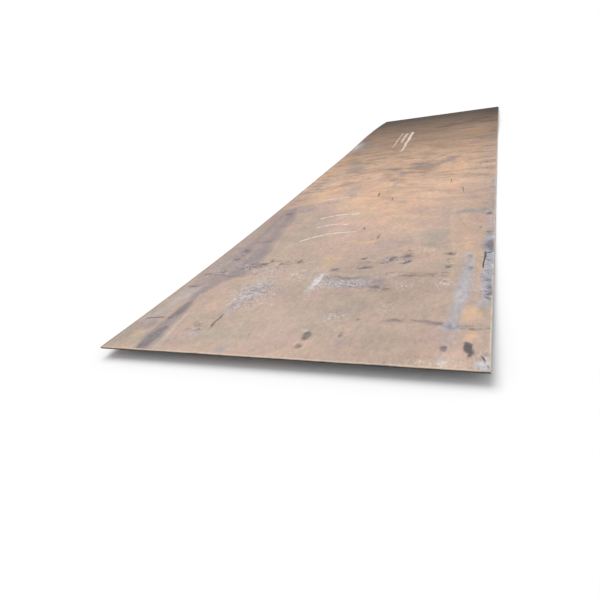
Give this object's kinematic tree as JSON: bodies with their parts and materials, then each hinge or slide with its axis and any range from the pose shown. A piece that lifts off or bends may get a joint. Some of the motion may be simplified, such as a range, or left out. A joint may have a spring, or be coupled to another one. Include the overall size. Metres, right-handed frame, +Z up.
{
  "type": "steel plate",
  "caption": "Long hot-rolled steel plate with sheared ends and rolled sides, weathered to thin rust, gently wavy along its length, for cutting, forming and welding.",
  "frame": {"origin": "centre of the plate's box at floor level, under the flat run that the plate lies on", "axes": "+Z up out of the plate, +Y along its length towards the arched end, +X across its width"},
  "size_m": [1.5, 6.0001, 0.0479],
  "materials": {
    "rusted_steel": "hot-rolled surface with thin brown rust, worn mill scale, matt"
  },
  "bodies": {
    "root": {"steel_plate": "rusted_steel"}
  },
  "joints": []
}
